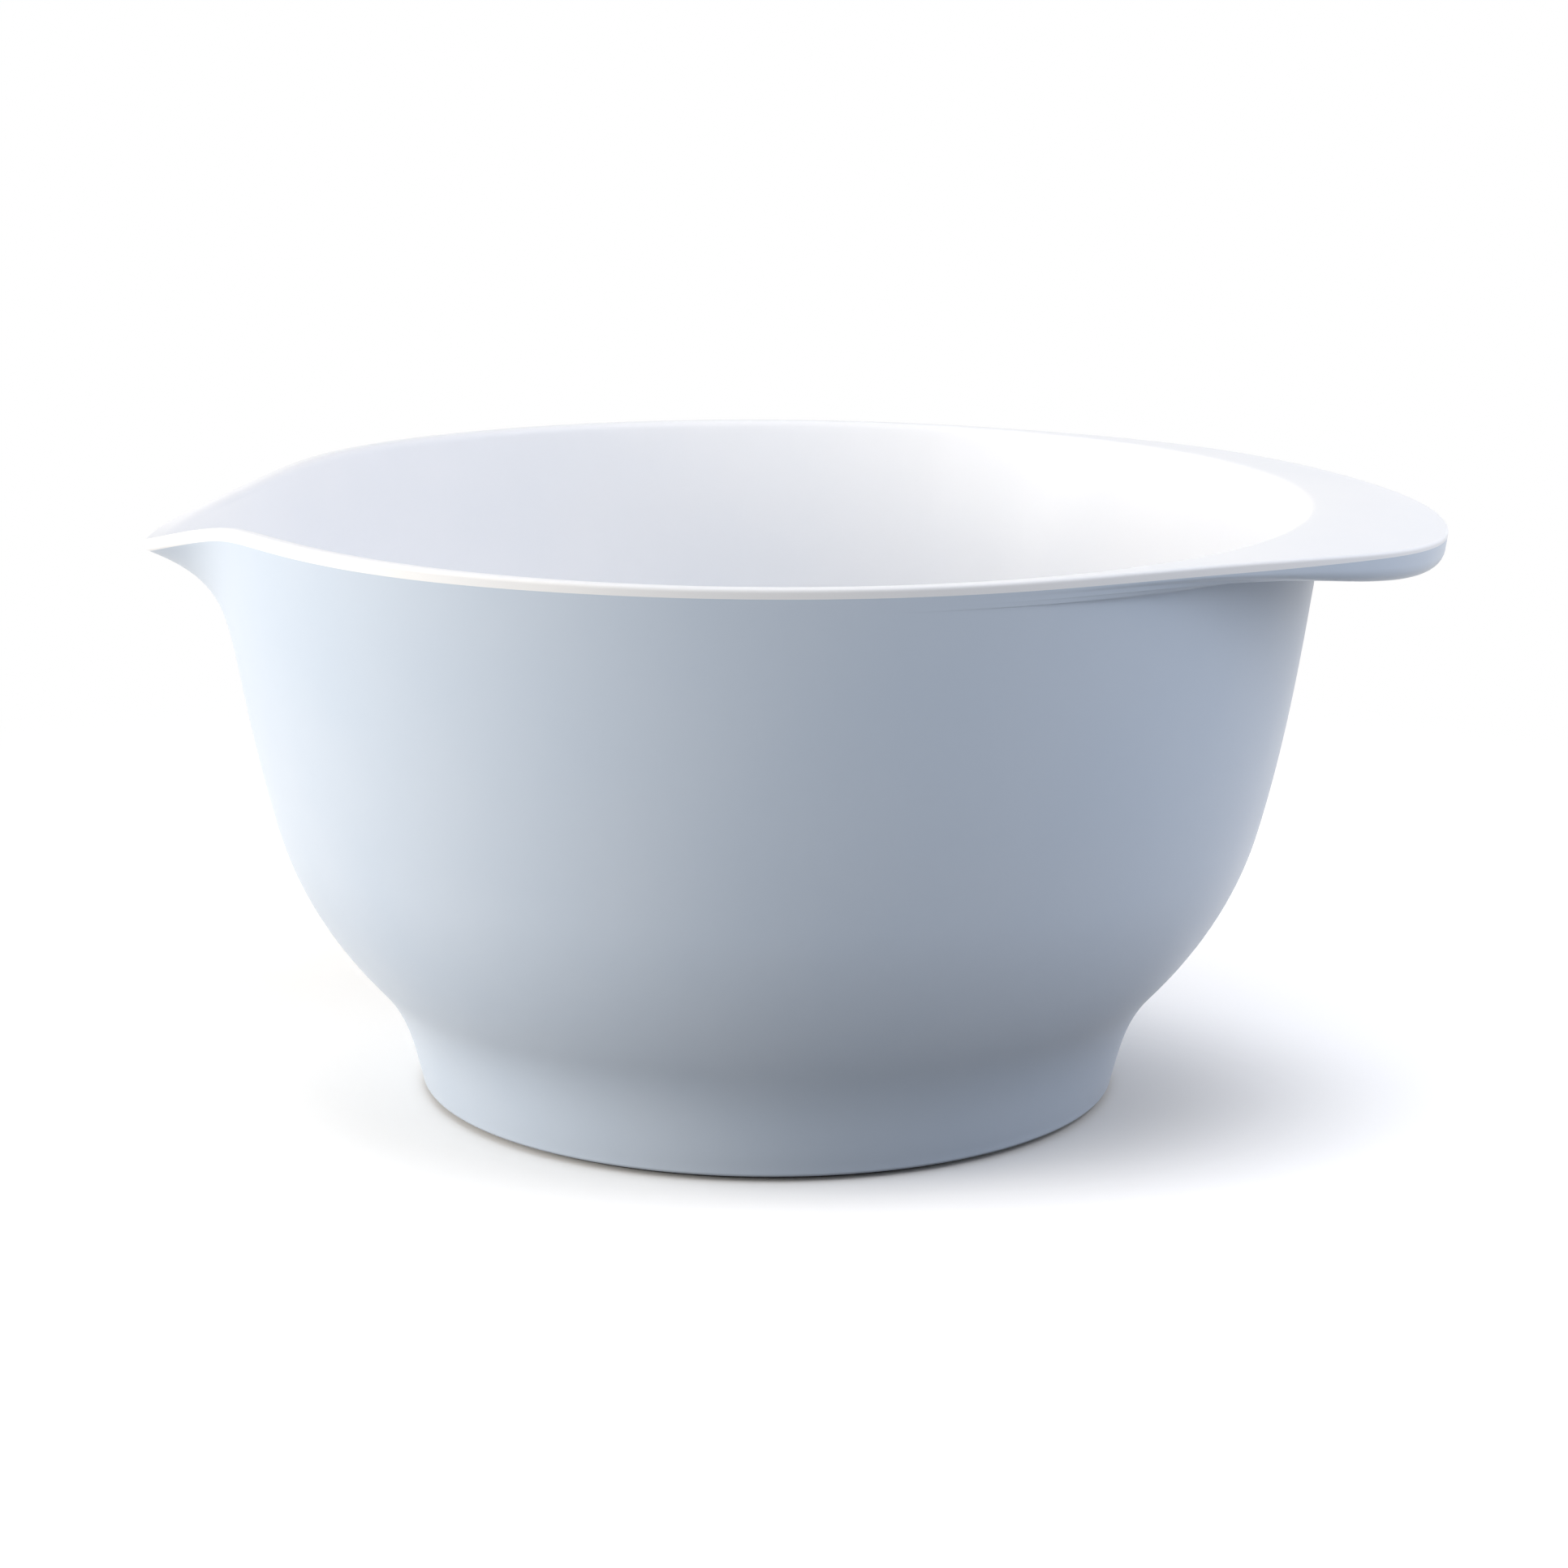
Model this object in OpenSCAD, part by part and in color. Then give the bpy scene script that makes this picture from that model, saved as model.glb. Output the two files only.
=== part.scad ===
// Two-tone mixing bowl with a pouring spout, a grip lug and a non-slip ring under its foot.
// Origin: middle of the circle on which the bowl stands. +X points to the grip, -X to the spout.

/* [Bowl] */
// Outer radius of the rim
rim_r = 121.9; // [112:0.1:140]
// Height of the rim above the table
rim_h = 133.7; // [122:0.1:160]
// Lean of the wall at the rim, in degrees from upright
rim_lean = 7.5; // [3:0.5:12]
// Radius of the wall at its shoulder, where the side turns upright
shoulder_r = 109.6; // [104:0.1:112]
// Height of the shoulder
shoulder_h = 62; // [50:0.5:72]
// Lean of the wall at the shoulder
shoulder_lean = 15; // [8:0.5:25]
// Radius of the waist, where the foot turns into the bowl
waist_r = 89.5; // [86:0.1:96]
// Height of the waist
waist_h = 27; // [22:0.5:34]
// Lean of the wall at the waist
waist_lean = 43; // [30:0.5:50]
// Thickness of the wall, both mouldings together
wall = 3.6; // [3:0.1:4.4]
// Thickness of the white inner moulding
liner_t = 1.8; // [1.4:0.1:2.2]
// Height of the inside floor above the table
floor_h = 7.9; // [7:0.1:10]
// Radius of the flat inside floor
floor_r = 44; // [30:0.5:55]

/* [Rim] */
// Depth to which the white moulding wraps over the outside
wrap = 2.1; // [1.9:0.1:3]
// Extra depth of the wrap beside the spout
wrap_spout_extra = 0.7; // [0:0.1:1]
// Depth by which the wrap is narrower at the end of the grip
wrap_grip_less = 0.8; // [0:0.1:0.8]
// Radius of the rim's inner edge
rim_round_in = 1.7; // [0.6:0.1:1.9]
// Radius of the rim's outer edge
rim_round_out = 0.9; // [0.3:0.1:1.1]

/* [Foot] */
// Outer radius of the foot near its bottom edge
foot_r = 78.3; // [77:0.1:82]
// Lean of the foot's side
foot_lean = 14.5; // [5:0.5:20]
// Gap between the foot's bottom edge and the table
foot_gap = 1.2; // [0.8:0.1:2]
// Radius of the foot's bottom edge
foot_round = 1; // [0.4:0.1:1.4]
// Width of the foot's standing edge
foot_w = 11.4; // [10.6:0.1:16]
// Height of the recess under the floor, above the table
recess_h = 4; // [3:0.1:4.4]
// Radius of the fillet where the recess meets the foot
recess_round = 1.4; // [0.6:0.1:1.6]

/* [Non-slip ring] */
// Middle radius of the ring
ring_r = 72.4; // [71.6:0.1:72.9]
// Width of the ring
ring_w = 6; // [4:0.1:6.6]
// Depth to which the ring is let into the foot
ring_seat = 2.4; // [1.8:0.1:3]
// Clearance on each side of the ring in its groove
ring_clear = 0.25; // [0.2:0.05:0.4]
// Radius of the ring's lower edges
ring_round = 0.8; // [0.3:0.1:1.1]

/* [Spout] */
// Length by which the lip stands out past the rim
spout_reach = 16.4; // [10:0.1:20]
// Half angle over which the lip stands out
spout_spread = 11.8; // [10:0.1:16]
// Depth by which the tip of the lip dips below the rim
spout_dip = 10.9; // [6:0.1:14]
// Half angle over which the lip dips
dip_spread = 14.3; // [11:0.1:18]
// Depth of wall over which the lip's flare runs out, most of it in the first third
flare_depth = 60; // [48:0.5:70]
// Depth of wall over which the dip runs out
dip_depth = 76; // [60:0.5:88]
// Depth over which the edge of the lip stands upright before the flare turns in
lip_edge = 2.5; // [1.8:0.1:2.9]
// Thickness of the wall at the tip of the lip
lip_t = 2.4; // [2.1:0.1:2.8]
// Depth of the skin behind which the inner corner of the lip's tip lies
lip_corner = 2.9; // [2.3:0.1:3.4]

/* [Grip] */
// Length by which the grip stands out past the rim
grip_reach = 26.6; // [20:0.1:34]
// Half angle over which the grip stands out
grip_spread = 38.6; // [30:0.2:42]
// Depth by which the end of the grip droops
grip_droop = 4.2; // [0:0.1:6]
// Thickness of the grip's plate
plate_t = 4; // [3.6:0.1:4.6]
// Depth of the edge that turns down round the grip
edge_depth = 8.4; // [7:0.1:10]
// Half angle over which that edge turns down
edge_spread = 36; // [30:0.5:42]
// Width of the turned edge at its bottom
edge_w = 5.6; // [5:0.1:8]
// Radius of the outer corner under the grip
edge_round = 4.2; // [2:0.1:4.8]
// Width of the fillet where the plate meets the wall
root_round = 3; // [2:0.1:5]
// Depth below the rim at which the edge and the fillet have run out into the wall
merge_depth = 6; // [5:0.1:9]

/* [Hidden] */

// Numbers of faces: columns round the bowl, and rows along each stretch of its section
columns = 80;
foot_rows = 4;
belly_rows = 6;
upper_rows = 8;
floor_rows = 5;
plate_rows = 4;
band_rows = 4;
corner_rows = 3;
edge_corner_rows = 4;
root_rows = 2;

// Columns lie closer together at the spout and the grip, by this share
crowding_share = 0.22;

// Rows lie closer together towards the rim: 1 is even, and a higher power is closer
upper_power = 1.5;

// Steps over which the slope of the skin is measured: an angle, and a share of the wall
probe_angle = 0.5;
probe_share = 0.05;

// Shapes of the humps: 2 is a bell, and a higher power has a flatter top and steeper sides
spout_power = 2;
dip_power = 1.6;
grip_power = 2.8;
edge_power = 4.2;
wrap_power = 6;
flare_power = 6.8;

// How sharply the lip turns in below its upright edge: on the outside, and at the wall's core
edge_turn = 10;
core_turn = 2;

// Spread of the deep wrap, in degrees from the spout, and of the thin wrap, from the grip
deep_wrap_spread = 62;
thin_wrap_spread = 34;

// Inside curve: how far each end's direction carries, as shares of the waist's height and the floor's run
bowl_pull_share = 0.52;
floor_pull_share = 0.42;

// Derived sizes
blue_t = wall - liner_t;
probe_h = probe_share * wall;
foot_side_h = foot_gap + foot_round;
foot_in_r = foot_r - foot_w;
ring_top = foot_gap + ring_seat;
groove_in_r = ring_r - ring_w / 2 - ring_clear;
groove_out_r = ring_r + ring_w / 2 + ring_clear;

// Straight and curved ways between points, at a share f of the way
function mix(p, q, f) = p * (1 - f) + q * f;
function corner(p, q, r, f) = (1 - f)^2 * p + 2 * (1 - f) * f * q + f^2 * r;
function cubic(p, q, r, s, f) =
    (1 - f)^3 * p + 3 * (1 - f)^2 * f * q + 3 * (1 - f) * f^2 * r + f^3 * s;

// Places along the turned edge of the grip, from its outer side round to the wall.
// Each is an inset from the grip's outline and a depth below the plate's top.
edge_corner = [for (k = [1 : edge_corner_rows])
    let (a = 90 * k / edge_corner_rows)
    [edge_round * (1 - cos(a)), edge_depth - edge_round * (1 - sin(a))]];
edge_inside = [
    [edge_w, (edge_depth + plate_t) / 2],
    [edge_w + edge_depth - plate_t, plate_t]
];
edge_root = [for (k = [0 : root_rows - 1])
    corner([grip_reach - root_round, plate_t], [grip_reach, plate_t],
        [grip_reach, merge_depth], k / root_rows)];
edge_path = concat(edge_corner, edge_inside, edge_root);
edge_n = len(edge_path);

// Gives a smooth hump that is 1 in the middle and fades to 0 over the spread
function hump(a, spread, power) = exp(-pow(abs(a) / spread, power));

// Angle from the grip and from the spout, in degrees either way
function from_grip(a) = min(a, 360 - a);
function from_spout(a) = abs(a - 180);

function grip_out(a) = grip_reach * hump(from_grip(a), grip_spread, grip_power);
function edge_share(a) = hump(from_grip(a), edge_spread, edge_power);
function spout_share(a) = hump(from_spout(a), spout_spread, spout_power);
function dip_at(a) = spout_dip * hump(from_spout(a), dip_spread, dip_power);
function wrap_at(a) = wrap + wrap_spout_extra * hump(from_spout(a), deep_wrap_spread, wrap_power)
    - wrap_grip_less * hump(from_grip(a), thin_wrap_spread, wrap_power);
function droop(x) = grip_droop * pow(x / grip_reach, 2);

// Depth below the rim as the flare and the dip count it, which starts slowly along the upright edge
function turned_depth(d, turn) = pow(pow(abs(d), turn) + pow(lip_edge, turn), 1 / turn) - lip_edge;

// Share of the flare and of the dip that is left at a counted depth
function left_share(d, depth, power) = d < depth ? pow(1 - d / depth, power) : 0;
function flare_share(d) = left_share(d, flare_depth, flare_power);
function dip_share(d) = left_share(d, dip_depth, 2);

// Radius on a smooth curve between two stations, each [height, radius, lean]
function between(p, q, h) =
    let (run = q[0] - p[0], u = (h - p[0]) / run)
    (2 * u^3 - 3 * u^2 + 1) * p[1] + (u^3 - 2 * u^2 + u) * run * tan(p[2])
    + (3 * u^2 - 2 * u^3) * q[1] + (u^3 - u^2) * run * tan(q[2]);

foot_station = [foot_side_h, foot_r, foot_lean];
waist_station = [waist_h, waist_r, waist_lean];
shoulder_station = [shoulder_h, shoulder_r, shoulder_lean];
rim_station = [rim_h, rim_r, rim_lean];

// Outer radius of the round bowl at a height
function round_r(h) =
    h < waist_h ? between(foot_station, waist_station, h)
    : h < shoulder_h ? between(waist_station, shoulder_station, h)
    : between(shoulder_station, rim_station, h);

// Places a [radius, height] at an angle round the bowl
function place(a, p) = [p[0] * cos(a), p[0] * sin(a), p[1]];

function unit(v) = v / norm(v);

// Outer skin without the grip, as [radius, height], at an angle and a height on the round bowl
function skin(a, h, turn) =
    let (d = turned_depth(rim_h - h, turn))
    [round_r(h) + spout_reach * spout_share(a) * flare_share(d), h - dip_at(a) * dip_share(d)];

// The skin as the inside of the wall follows it, and the directions up along it and out of it
function core(a, h) = place(a, skin(a, h, core_turn));
function core_up(a, h) = unit(core(a, h + probe_h) - core(a, h - probe_h));
function core_out(a, h) = unit(cross(core(a + probe_angle, h) - core(a - probe_angle, h), core_up(a, h)));

// Wall thickness, which thins towards the tip of the lip
function wall_at(a, h) =
    wall - (wall - lip_t) * spout_share(a) * flare_share(turned_depth(rim_h - h, core_turn));

// A point inside the wall, at a share of its thickness behind the outer skin
function behind(a, h, depth_share) = core(a, h) - depth_share * wall_at(a, h) * core_out(a, h);

// Angle of each column
function column_angle(j) =
    let (a = 360 * j / columns)
    a - crowding_share * sin(2 * a) * 90 / PI;

// Heights of the rows on the round bowl: from the foot to the waist, the shoulder and below the rim
foot_heights = [for (k = [0 : foot_rows - 1]) mix(foot_side_h, waist_h, k / foot_rows)];
belly_heights = [for (k = [0 : belly_rows - 1]) mix(waist_h, shoulder_h, k / belly_rows)];
upper_top = rim_h - merge_depth;
upper_heights = [for (k = [0 : upper_rows])
    mix(upper_top, shoulder_h, pow(1 - k / upper_rows, upper_power))];
wall_heights = concat(belly_heights, upper_heights);

// Height of the skin behind which the rim's inner corner lies, level with the rim's outer edge
function inner_top(a) = rim_h - mix(wall * sin(rim_lean), lip_corner, spout_share(a));

// One ring of points: the round of a [radius, height]
function ring_of(r, h) = [for (j = [0 : columns - 1]) place(column_angle(j), [r, h])];
function pole_of(h) = [for (j = [0 : columns - 1]) [0, 0, h]];

// The outer skin at a height, and a surface behind it
function skin_row(h) =
    [for (j = [0 : columns - 1]) place(column_angle(j), skin(column_angle(j), h, edge_turn))];
function behind_row(h, depth_share) = [for (j = [0 : columns - 1]) behind(column_angle(j), h, depth_share)];

// The curve from the wall at the waist down to the flat floor, at a share of the wall behind the skin
function bottom_point(a, depth_share, level, f) =
    let (
        top = behind(a, waist_h, depth_share),
        down = -core_up(a, waist_h),
        edge = place(a, [floor_r, level]),
        inwards = place(a, [-1, 0])
    )
    cubic(top, top + down * bowl_pull_share * (waist_h - level),
        edge - inwards * floor_pull_share * (waist_r - floor_r), edge, f);
function bottom_row(depth_share, level, f) =
    [for (j = [0 : columns - 1]) bottom_point(column_angle(j), depth_share, level, f)];

// A point of the grip's outline: out from the skin, with the plate's droop
function grip_point(a, h, inset) =
    let (x = grip_out(a) * (1 - inset / grip_reach))
    place(a, skin(a, h, edge_turn) + [x, -droop(x)]);

// A point of the turned edge. It lies on the plain wall where the grip has run out.
function edge_point(a, k) =
    let (
        plain = mix(wrap_at(a), merge_depth, (k + 1) / (edge_n + 1)),
        d = mix(plain, edge_path[k][1], edge_share(a))
    )
    grip_point(a, rim_h - d, edge_path[k][0]);
function edge_row(k) = [for (j = [0 : columns - 1]) edge_point(column_angle(j), k)];

// Where the two mouldings' colours meet on the outside
function seam_point(a) = grip_point(a, rim_h - wrap_at(a), 0);

// The bond under the plate and under the rim, from the seam at 1 to the wall at 0
function bond_point(a, f) =
    let (x = grip_out(a))
    mix(behind(a, rim_h - wrap_at(a), blue_t / wall), seam_point(a), f)
    + [0, 0, (f - f^2) * droop(x)];
function bond_row(f) = [for (j = [0 : columns - 1]) bond_point(column_angle(j), f)];

// The rim's inner corner and the grip's outer corner before rounding
function inner_corner(a) = behind(a, inner_top(a), 1);
function outer_corner(a) = grip_point(a, rim_h, 0);
function across(a) = unit(outer_corner(a) - inner_corner(a) + [0, 0, droop(grip_out(a))]);

// The rim's thickness as a share of the wall's, by which its rounded edges shrink at the lip
function thin_share(a) = wall_at(a, rim_h) / wall;

// The white outside of the rim, from its rounded edge at 0 to the seam at 1
function band_point(a, f) = grip_point(a, rim_h - mix(rim_round_out * thin_share(a), wrap_at(a), f), 0);

// The inner wall, halfway from its top row to the rim's inner corner
function inner_last(a) = behind(a, (upper_top + inner_top(a)) / 2, 1);

function inner_round(a, f) =
    let (c = inner_corner(a), r = rim_round_in * thin_share(a))
    corner(c - r * core_up(a, inner_top(a)), c, c + r * across(a), f);
function outer_round(a, f) =
    let (c = outer_corner(a))
    corner(c - rim_round_out * thin_share(a) * across(a), c, band_point(a, 0), f);
function top_point(a, f) =
    mix(inner_round(a, 1), outer_round(a, 0), f) + [0, 0, (f - f^2) * droop(grip_out(a))];

function inner_last_row() = [for (j = [0 : columns - 1]) inner_last(column_angle(j))];
function inner_round_row(f) = [for (j = [0 : columns - 1]) inner_round(column_angle(j), f)];
function outer_round_row(f) = [for (j = [0 : columns - 1]) outer_round(column_angle(j), f)];
function top_row(f) = [for (j = [0 : columns - 1]) top_point(column_angle(j), f)];
function band_row(f) = [for (j = [0 : columns - 1]) band_point(column_angle(j), f)];

// The bond between the mouldings, from the seam under the rim down to the middle of the floor
bond_rows = concat(
    [for (k = [plate_rows : -1 : 0]) bond_row(k / plate_rows)],
    [for (k = [len(wall_heights) - 1 : -1 : 0]) behind_row(wall_heights[k], blue_t / wall)],
    [for (k = [1 : floor_rows]) bottom_row(blue_t / wall, floor_h - liner_t, k / floor_rows)],
    [pole_of(floor_h - liner_t)]
);

// Joins rows of points, each a closed ring, to one solid whose first and last rows are poles
module skin_solid(rows, flip) {
    n = columns;
    m = len(rows) - 2;
    points = concat([rows[0][0]], [for (i = [1 : m]) each rows[i]], [rows[m + 1][0]]);
    last = len(points) - 1;
    faces = concat(
        [for (j = [0 : n - 1]) [0, 1 + j, 1 + (j + 1) % n]],
        [for (i = [0 : m - 2], j = [0 : n - 1])
            let (p = 1 + i * n, k = (j + 1) % n)
            each [[p + j, p + n + j, p + n + k], [p + j, p + n + k, p + k]]],
        [for (j = [0 : n - 1])
            let (p = 1 + (m - 1) * n)
            [p + j, last, p + (j + 1) % n]]
    );
    polyhedron(points, flip ? [for (f = faces) [f[2], f[1], f[0]]] : faces, convexity = 8);
}

// Pale blue outer moulding: foot, wall, underside of the spout and turned edge of the grip
module outer_shell() {
    rows = concat(
        [pole_of(recess_h)],
        [ring_of(foot_in_r - recess_round, recess_h)],
        [ring_of(foot_in_r, recess_h - recess_round)],
        [ring_of(foot_in_r, foot_gap)],
        [ring_of(groove_in_r, foot_gap)],
        [ring_of(groove_in_r, ring_top)],
        [ring_of(groove_out_r, ring_top)],
        [ring_of(groove_out_r, foot_gap)],
        [for (k = [0 : corner_rows - 1])
            let (a = 90 * k / corner_rows)
            ring_of(foot_r - foot_round * (1 - sin(a)), foot_side_h - foot_round * cos(a))],
        [for (h = concat(foot_heights, wall_heights)) skin_row(h)],
        [for (k = [edge_n - 1 : -1 : 0]) edge_row(k)],
        bond_rows
    );
    color([0.66, 0.75, 0.83]) skin_solid(rows, false);
}

// White inner moulding: the bowl's inside, its rim, the channel of the spout and top of the grip
module inner_shell() {
    rows = concat(
        [pole_of(floor_h)],
        [for (k = [floor_rows : -1 : 1]) bottom_row(1, floor_h, k / floor_rows)],
        [for (h = wall_heights) behind_row(h, 1)],
        [inner_last_row()],
        [for (k = [0 : corner_rows]) inner_round_row(k / corner_rows)],
        [for (k = [1 : plate_rows - 1]) top_row(k / plate_rows)],
        [for (k = [0 : corner_rows]) outer_round_row(k / corner_rows)],
        [for (k = [1 : band_rows - 1]) band_row(k / band_rows)],
        bond_rows
    );
    color([0.93, 0.94, 0.96]) skin_solid(rows, true);
}

// Rubber ring that is let into the foot and that the bowl stands on
module non_slip_ring() {
    in_r = ring_r - ring_w / 2;
    out_r = ring_r + ring_w / 2;
    color([0.35, 0.37, 0.4])
        rotate_extrude($fn = 2 * columns)
            polygon(concat(
                [[out_r, ring_top], [in_r, ring_top]],
                [for (k = [0 : corner_rows])
                    let (a = 90 * k / corner_rows)
                    [in_r + ring_round * (1 - cos(a)), ring_round * (1 - sin(a))]],
                [for (k = [corner_rows : -1 : 0])
                    let (a = 90 * k / corner_rows)
                    [out_r - ring_round * (1 - cos(a)), ring_round * (1 - sin(a))]]
            ));
}

outer_shell();
inner_shell();
non_slip_ring();
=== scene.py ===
"""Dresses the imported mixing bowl: two glossy mouldings, a rubber ring, a pale floor and soft light."""

import logging
import math
from collections.abc import Callable
from dataclasses import dataclass
from enum import Enum
from functools import partial

import bpy
import numpy as np
from mathutils import Matrix, Vector


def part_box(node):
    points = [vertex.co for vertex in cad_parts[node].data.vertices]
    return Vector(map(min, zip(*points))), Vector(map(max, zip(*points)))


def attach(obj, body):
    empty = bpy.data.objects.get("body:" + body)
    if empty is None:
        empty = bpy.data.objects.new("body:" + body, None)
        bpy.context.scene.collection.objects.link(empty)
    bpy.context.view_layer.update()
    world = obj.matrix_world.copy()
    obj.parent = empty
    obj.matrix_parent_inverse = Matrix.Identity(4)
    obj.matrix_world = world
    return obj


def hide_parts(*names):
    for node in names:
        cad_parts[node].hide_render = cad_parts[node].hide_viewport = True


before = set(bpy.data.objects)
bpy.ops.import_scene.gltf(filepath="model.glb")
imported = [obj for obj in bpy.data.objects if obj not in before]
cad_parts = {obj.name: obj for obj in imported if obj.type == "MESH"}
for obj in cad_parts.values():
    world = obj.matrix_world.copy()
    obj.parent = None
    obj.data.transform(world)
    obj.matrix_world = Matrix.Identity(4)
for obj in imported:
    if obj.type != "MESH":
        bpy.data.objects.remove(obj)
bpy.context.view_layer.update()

LOG = logging.getLogger("mixing_bowl")
MM = 0.001
ROOT_BODY = "root"

# Heights between which a noise pattern mostly lies
NOISE_LOW = 0.3
NOISE_HIGH = 0.7
# Refractive index of melamine and of the ring's rubber
REFRACTION = 1.5

# A row is one closed round of the bowl's surface: it turns angles in degrees into points in metres
Row = Callable[[np.ndarray], np.ndarray]
# Radii and heights along a section, in metres
Outline = list[tuple[float, float]]
# Red, green and blue from 0 to 255, as a screen shows them
ScreenColour = tuple[int, int, int]
Socket = bpy.types.NodeSocket


class Slot(Enum):
    """Material slots of the record."""

    PALE_BLUE = "pale_blue_melamine"
    WHITE = "white_melamine"
    RUBBER = "ring_rubber"


def hump(angle: np.ndarray, spread: float, power: float) -> np.ndarray:
    """Returns a hump of 1 in the middle and about a third at the spread, flatter for a higher power."""
    return np.exp(-((np.abs(angle) / spread) ** power))


def mix(start: np.ndarray, end: np.ndarray, share: float) -> np.ndarray:
    """Returns the point at a share of the straight way from start to end."""
    return start * (1 - share) + end * share


def corner(start: np.ndarray, bend: np.ndarray, end: np.ndarray, share: float) -> np.ndarray:
    """Returns the point at a share of the curve from start to end that rounds the corner at bend."""
    return (1 - share) ** 2 * start + 2 * (1 - share) * share * bend + share**2 * end


def unit(vectors: np.ndarray) -> np.ndarray:
    """Returns the vectors at a length of 1."""
    return vectors / np.linalg.norm(vectors, axis=-1, keepdims=True)


def place(angle: np.ndarray, radius: np.ndarray, height: np.ndarray) -> np.ndarray:
    """Places radii and heights at angles round the bowl.

    Args:
        angle: Angles from the grip, in degrees.
        radius: Distance from the upright axis, in metres.
        height: Height above the table, in metres.

    Returns:
        One point in metres for each angle.
    """
    turn = np.radians(angle)
    radius, height = np.broadcast_to(radius, turn.shape), np.broadcast_to(height, turn.shape)
    return np.stack([radius * np.cos(turn), radius * np.sin(turn), height], axis=-1)


def from_grip(angle: np.ndarray) -> np.ndarray:
    """Returns the angle from the grip, either way, in degrees."""
    return 180 - np.abs(180 - np.mod(angle, 360))


def from_spout(angle: np.ndarray) -> np.ndarray:
    """Returns the angle from the spout, either way, in degrees."""
    return 180 - from_grip(angle)


@dataclass(frozen=True)
class Station:
    """A place on the round bowl's outer skin, in metres, with its lean from upright in degrees."""

    height: float
    radius: float
    lean: float


@dataclass(frozen=True)
class Spout:
    """Sizes of the pouring lip, in metres and degrees.

    The lip ends in an upright edge. Below it the skin turns in, sharply on the outside, by edge_turn,
    and gently where the wall's inside and the bond follow it, by core_turn.
    """

    reach: float = 16.4 * MM
    spread: float = 11.8
    power: float = 2
    dip: float = 10.9 * MM
    dip_spread: float = 14.3
    dip_power: float = 1.6
    flare_depth: float = 60 * MM
    flare_power: float = 6.8
    dip_depth: float = 76 * MM
    edge: float = 2.5 * MM
    edge_turn: float = 10
    core_turn: float = 2
    lip: float = 2.4 * MM
    lip_corner: float = 2.9 * MM

    def share(self, angle: np.ndarray) -> np.ndarray:
        """Returns how far out the lip stands at each angle, as a share of its reach."""
        return hump(from_spout(angle), self.spread, self.power)

    def dip_at(self, angle: np.ndarray) -> np.ndarray:
        """Returns how far the lip dips below the rim at each angle, in metres."""
        return self.dip * hump(from_spout(angle), self.dip_spread, self.dip_power)

    def turned(self, depth: np.ndarray, turn: float) -> np.ndarray:
        """Returns depths below the rim as flare and dip count them, which is late past the upright edge."""
        return (np.abs(depth) ** turn + self.edge**turn) ** (1 / turn) - self.edge

    def flare_share(self, turned: np.ndarray) -> np.ndarray:
        """Returns the share of the flare that is left at a counted depth."""
        return np.clip(1 - turned / self.flare_depth, 0, None) ** self.flare_power

    def dip_share(self, turned: np.ndarray) -> np.ndarray:
        """Returns the share of the dip that is left at a counted depth."""
        return np.clip(1 - turned / self.dip_depth, 0, None) ** 2

    def thinning(self, angle: np.ndarray, depth: np.ndarray) -> np.ndarray:
        """Returns how fully the wall thins to the lip at an angle and a depth below the rim."""
        return self.share(angle) * self.flare_share(self.turned(depth, self.core_turn))


@dataclass(frozen=True)
class Grip:
    """Sizes of the grip's plate and of the edge that turns down round it, in metres and degrees."""

    reach: float = 26.6 * MM
    spread: float = 38.6
    power: float = 2.8
    droop: float = 4.2 * MM
    plate: float = 4 * MM
    edge_depth: float = 8.4 * MM
    edge_spread: float = 36
    edge_power: float = 4.2
    edge_width: float = 5.6 * MM
    edge_round: float = 4.2 * MM
    edge_round_in: float = 1.1 * MM
    under_round: float = 2.4 * MM
    root_round: float = 3 * MM
    merge_depth: float = 6 * MM
    round_steps: int = 8

    def out(self, angle: np.ndarray) -> np.ndarray:
        """Returns how far the plate stands out past the rim at each angle, in metres."""
        return self.reach * hump(from_grip(angle), self.spread, self.power)

    def edge_share(self, angle: np.ndarray) -> np.ndarray:
        """Returns how fully the edge is turned down at each angle."""
        return hump(from_grip(angle), self.edge_spread, self.edge_power)

    def droop_at(self, out: np.ndarray) -> np.ndarray:
        """Returns how far the plate droops at a distance out from the rim."""
        return self.droop * (out / self.reach) ** 2

    def edge_path(self) -> list[tuple[float, float]]:
        """Lists the places along the turned edge, from its outer side round to the wall.

        Returns:
            Pairs of an inset from the plate's outline and a depth below its top, in metres.
        """
        shares = [step / self.round_steps for step in range(self.round_steps + 1)]
        path = [(self.edge_round * (1 - math.cos(math.pi / 2 * share)),
                 self.edge_depth - self.edge_round * (1 - math.sin(math.pi / 2 * share)))
                for share in shares]
        bottom = np.array([self.edge_width, self.edge_depth])
        inside = np.array([self.edge_width + self.edge_depth - self.plate, self.plate])
        root = np.array([self.reach - self.root_round, self.plate])
        wall = np.array([self.reach, self.plate])
        merge = np.array([self.reach, self.merge_depth])
        slope = (inside - bottom) / np.linalg.norm(inside - bottom)
        along = np.array([1.0, 0.0])
        rounds = [
            (bottom - along * self.edge_round_in, bottom, bottom + slope * self.edge_round_in),
            (inside - slope * self.under_round, inside, inside + along * self.under_round),
            (root, wall, merge),
        ]
        for start, bend, end in rounds:
            path += [tuple(corner(start, bend, end, share)) for share in shares]
        # The top row of the wall runs through the last point
        return path[:-1]


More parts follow.
